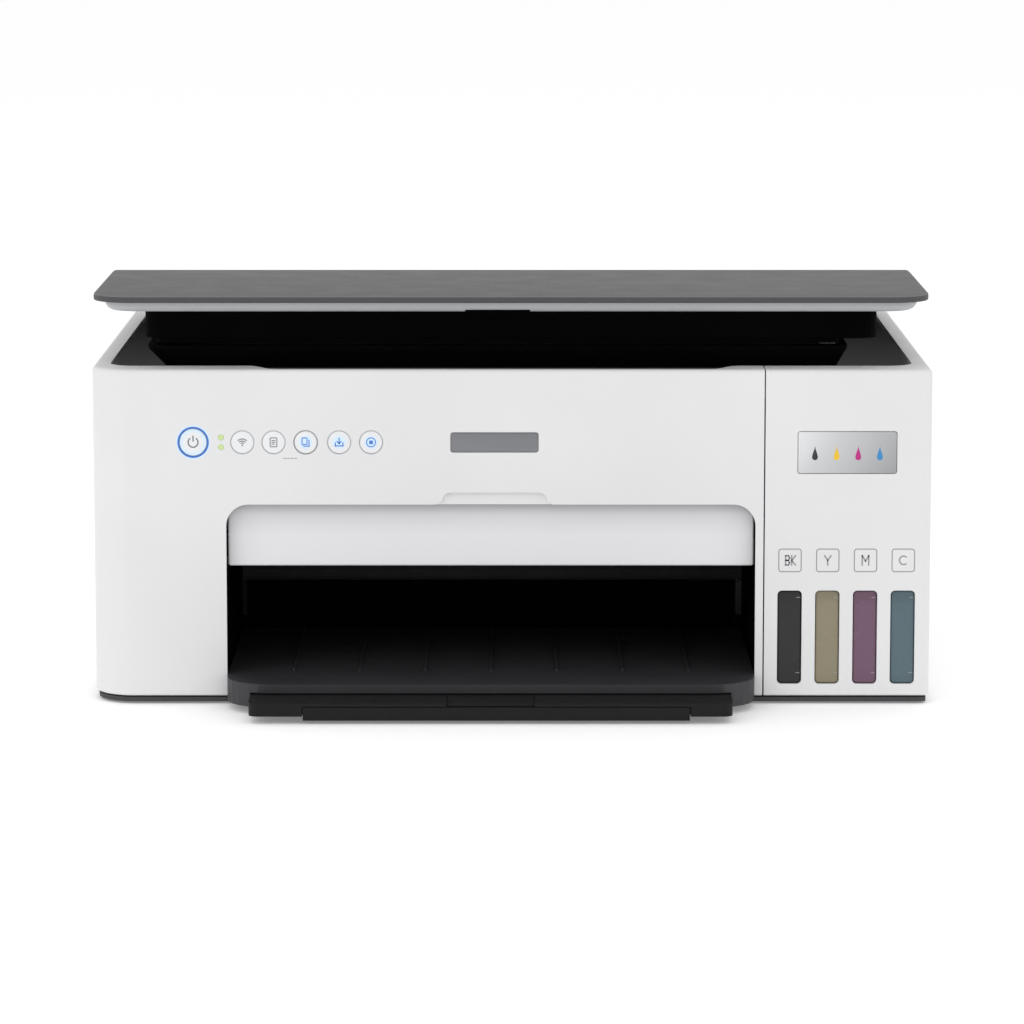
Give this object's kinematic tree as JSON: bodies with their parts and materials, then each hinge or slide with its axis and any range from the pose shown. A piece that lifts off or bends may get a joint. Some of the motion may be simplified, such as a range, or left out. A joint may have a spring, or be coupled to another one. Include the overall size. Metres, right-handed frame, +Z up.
{
  "type": "inkjet printer",
  "caption": "Desktop tank inkjet printer with a flatbed scanner: white shell, grey ribbed lid, front ink windows, round button row, output bay with a sliding tray.",
  "frame": {"origin": "on the ground under the middle of the box around the whole printer, tray at its rest place", "axes": "+Z up, +X to the right seen from the front, front faces -Y"},
  "size_m": [0.375, 0.368, 0.1836],
  "materials": {
    "white_shell": "fine satin texture",
    "base_plastic": "matt",
    "foot_rubber": "matt",
    "liner_plastic": "satin",
    "black_plastic": "matt",
    "tray_plastic": "satin",
    "visor_plastic": "satin",
    "lid_plastic": "fine ribs from front to back",
    "lid_frame_plastic": "satin",
    "button_plastic": "satin, printed outline",
    "light_guide": "milky, pale green",
    "plate_metal": "brushed grey",
    "label_metal": "silver gradient",
    "circuit_board": "solder mask",
    "scanner_glass": "clear",
    "pad_foam": "matt white sheet",
    "sheet_steel": "galvanised",
    "belt_rubber": "matt",
    "gear_plastic": "satin",
    "roller_rubber": "matt",
    "ink_black": "translucent tank",
    "ink_yellow": "translucent tank",
    "ink_magenta": "translucent tank",
    "ink_cyan": "translucent tank"
  },
  "bodies": {
    "root": {"base_case": "base_plastic", "foot_front_left": "foot_rubber", "foot_front_right": "foot_rubber", "foot_rear_left": "foot_rubber", "foot_rear_right": "foot_rubber", "front_panel": "white_shell", "tank_front_cover": "white_shell", "left_side_cover": "white_shell", "right_side_cover": "white_shell", "rear_cover": "white_shell", "name_plate": "plate_metal", "tank_label": "label_metal", "top_liner": "liner_plastic", "output_bay_liner": "black_plastic", "output_visor": "visor_plastic", "output_ledge": "tray_plastic", "status_light_guide": "light_guide", "control_board": "circuit_board", "ink_tank_black": "ink_black", "ink_tank_yellow": "ink_yellow", "ink_tank_magenta": "ink_magenta", "ink_tank_cyan": "ink_cyan", "feed_ramp": "liner_plastic", "platen": "black_plastic", "main_frame": "sheet_steel", "carriage_rail": "sheet_steel", "drive_belt": "belt_rubber", "power_supply": "black_plastic", "main_board": "circuit_board"},
    "scanner": {"scanner_housing": "black_plastic", "scanner_glass": "scanner_glass", "lid_hinge_left": "black_plastic", "lid_hinge_right": "black_plastic"},
    "lid": {"lid_cover": "lid_plastic", "lid_frame": "lid_frame_plastic", "lid_pan": "black_plastic", "lid_pad": "pad_foam"},
    "scan_bar": {"scan_bar": "black_plastic"},
    "tray": {"output_tray": "tray_plastic"},
    "tray_extension": {"tray_extension": "tray_plastic"},
    "stopper": {"paper_stopper": "tray_plastic"},
    "carriage": {"print_carriage": "black_plastic"},
    "motor_pulley": {"motor_pulley": "sheet_steel"},
    "idler_pulley": {"idler_pulley": "sheet_steel"},
    "feed_roller": {"feed_roller": "roller_rubber"},
    "transfer_gear": {"transfer_gear": "gear_plastic"},
    "exit_roller": {"exit_roller": "roller_rubber"},
    "motor_pinion": {"motor_pinion": "gear_plastic"},
    "pickup_roller": {"pickup_roller": "roller_rubber"},
    "guard": {"feeder_guard": "liner_plastic"},
    "support": {"paper_support": "liner_plastic"},
    "support_extension": {"support_extension": "liner_plastic"},
    "guide_left": {"edge_guide_left": "liner_plastic"},
    "guide_right": {"edge_guide_right": "liner_plastic"},
    "power_button": {"power_button": "button_plastic"},
    "button_1": {"panel_button_1": "button_plastic"},
    "button_2": {"panel_button_2": "button_plastic"},
    "button_3": {"panel_button_3": "button_plastic"},
    "button_4": {"panel_button_4": "button_plastic"},
    "button_5": {"panel_button_5": "button_plastic"}
  },
  "joints": [
    {"name": "scanner_lift", "type": "hinge", "parent": "root", "child": "scanner", "pos_m": [0, 0.124, 0.155], "axis": [-1, 0, 0], "range_deg": [0, 30]},
    {"name": "lid_open", "type": "hinge", "parent": "scanner", "child": "lid", "pos_m": [0, 0.116, 0.161], "axis": [-1, 0, 0], "range_deg": [0, 65]},
    {"name": "scan_travel", "type": "slide", "parent": "scanner", "child": "scan_bar", "axis": [1, 0, 0], "range_m": [0, 0.285]},
    {"name": "carriage_travel", "type": "slide", "parent": "root", "child": "carriage", "axis": [-1, 0, 0], "range_m": [0, 0.25]},
    {"name": "motor_pulley_spin", "type": "hinge", "parent": "root", "child": "motor_pulley", "pos_m": [0.16, 0.06575, 0.074], "axis": [0, -1, 0], "range_deg": [0, 1640]},
    {"name": "idler_pulley_spin", "type": "hinge", "parent": "root", "child": "idler_pulley", "pos_m": [-0.14, 0.06575, 0.074], "axis": [0, -1, 0], "range_deg": [0, 1640]},
    {"name": "feed_roller_spin", "type": "hinge", "parent": "root", "child": "feed_roller", "pos_m": [0, 0.065, 0.038], "axis": [1, 0, 0], "continuous": true},
    {"name": "transfer_gear_spin", "type": "hinge", "parent": "root", "child": "transfer_gear", "pos_m": [0, 0.0272, 0.038], "axis": [1, 0, 0], "continuous": true},
    {"name": "exit_roller_spin", "type": "hinge", "parent": "root", "child": "exit_roller", "pos_m": [0, -0.0016, 0.038], "axis": [1, 0, 0], "continuous": true},
    {"name": "motor_pinion_spin", "type": "hinge", "parent": "root", "child": "motor_pinion", "pos_m": [0, 0.0938, 0.038], "axis": [1, 0, 0], "continuous": true},
    {"name": "pickup_roller_spin", "type": "hinge", "parent": "root", "child": "pickup_roller", "pos_m": [0, 0.121, 0.066], "axis": [1, 0, 0], "continuous": true},
    {"name": "tray_slide", "type": "slide", "parent": "root", "child": "tray", "axis": [0, -1, 0], "range_m": [-0.021, 0.1]},
    {"name": "tray_extension_slide", "type": "slide", "parent": "tray", "child": "tray_extension", "axis": [0, -1, 0], "range_m": [0, 0.105]},
    {"name": "paper_stopper_flip", "type": "hinge", "parent": "tray_extension", "child": "stopper", "pos_m": [-0.009, -0.1825, 0.0083], "axis": [1, 0, 0], "range_deg": [0, 85]},
    {"name": "feeder_guard_open", "type": "hinge", "parent": "root", "child": "guard", "pos_m": [-0.009, 0.1711, 0.1531], "axis": [-1, 0, 0], "range_deg": [0, 85]},
    {"name": "paper_support_slide", "type": "slide", "parent": "root", "child": "support", "axis": [0, 0, 1], "range_m": [0, 0.095]},
    {"name": "support_extension_slide", "type": "slide", "parent": "support", "child": "support_extension", "axis": [0, 0, 1], "range_m": [0, 0.08]},
    {"name": "edge_guide_left_slide", "type": "slide", "parent": "root", "child": "guide_left", "axis": [1, 0, 0], "range_m": [0, 0.05]},
    {"name": "edge_guide_right_slide", "type": "slide", "parent": "root", "child": "guide_right", "axis": [1, 0, 0], "range_m": [-0.05, 0]},
    {"name": "power_button_press", "type": "slide", "parent": "root", "child": "power_button", "axis": [0, 1, 0], "range_m": [0, 0.0008], "stiffness_N_per_m": 800, "springref_m": -0.0004},
    {"name": "button_1_press", "type": "slide", "parent": "root", "child": "button_1", "axis": [0, 1, 0], "range_m": [0, 0.0008], "stiffness_N_per_m": 800, "springref_m": -0.0004},
    {"name": "button_2_press", "type": "slide", "parent": "root", "child": "button_2", "axis": [0, 1, 0], "range_m": [0, 0.0008], "stiffness_N_per_m": 800, "springref_m": -0.0004},
    {"name": "button_3_press", "type": "slide", "parent": "root", "child": "button_3", "axis": [0, 1, 0], "range_m": [0, 0.0008], "stiffness_N_per_m": 800, "springref_m": -0.0004},
    {"name": "button_4_press", "type": "slide", "parent": "root", "child": "button_4", "axis": [0, 1, 0], "range_m": [0, 0.0008], "stiffness_N_per_m": 800, "springref_m": -0.0004},
    {"name": "button_5_press", "type": "slide", "parent": "root", "child": "button_5", "axis": [0, 1, 0], "range_m": [0, 0.0008], "stiffness_N_per_m": 800, "springref_m": -0.0004}
  ],
  "couplings": [
    {"joint": "motor_pulley_spin", "follows": "carriage_travel", "rad_per_m": 113.6},
    {"joint": "idler_pulley_spin", "follows": "carriage_travel", "rad_per_m": 113.6},
    {"joint": "transfer_gear_spin", "follows": "feed_roller_spin", "ratio": -1.2727},
    {"joint": "exit_roller_spin", "follows": "feed_roller_spin", "ratio": 1.75},
    {"joint": "motor_pinion_spin", "follows": "feed_roller_spin", "ratio": -2.8},
    {"joint": "pickup_roller_spin", "follows": "feed_roller_spin", "ratio": -0.41667},
    {"joint": "edge_guide_right_slide", "follows": "edge_guide_left_slide", "ratio": -1}
  ]
}
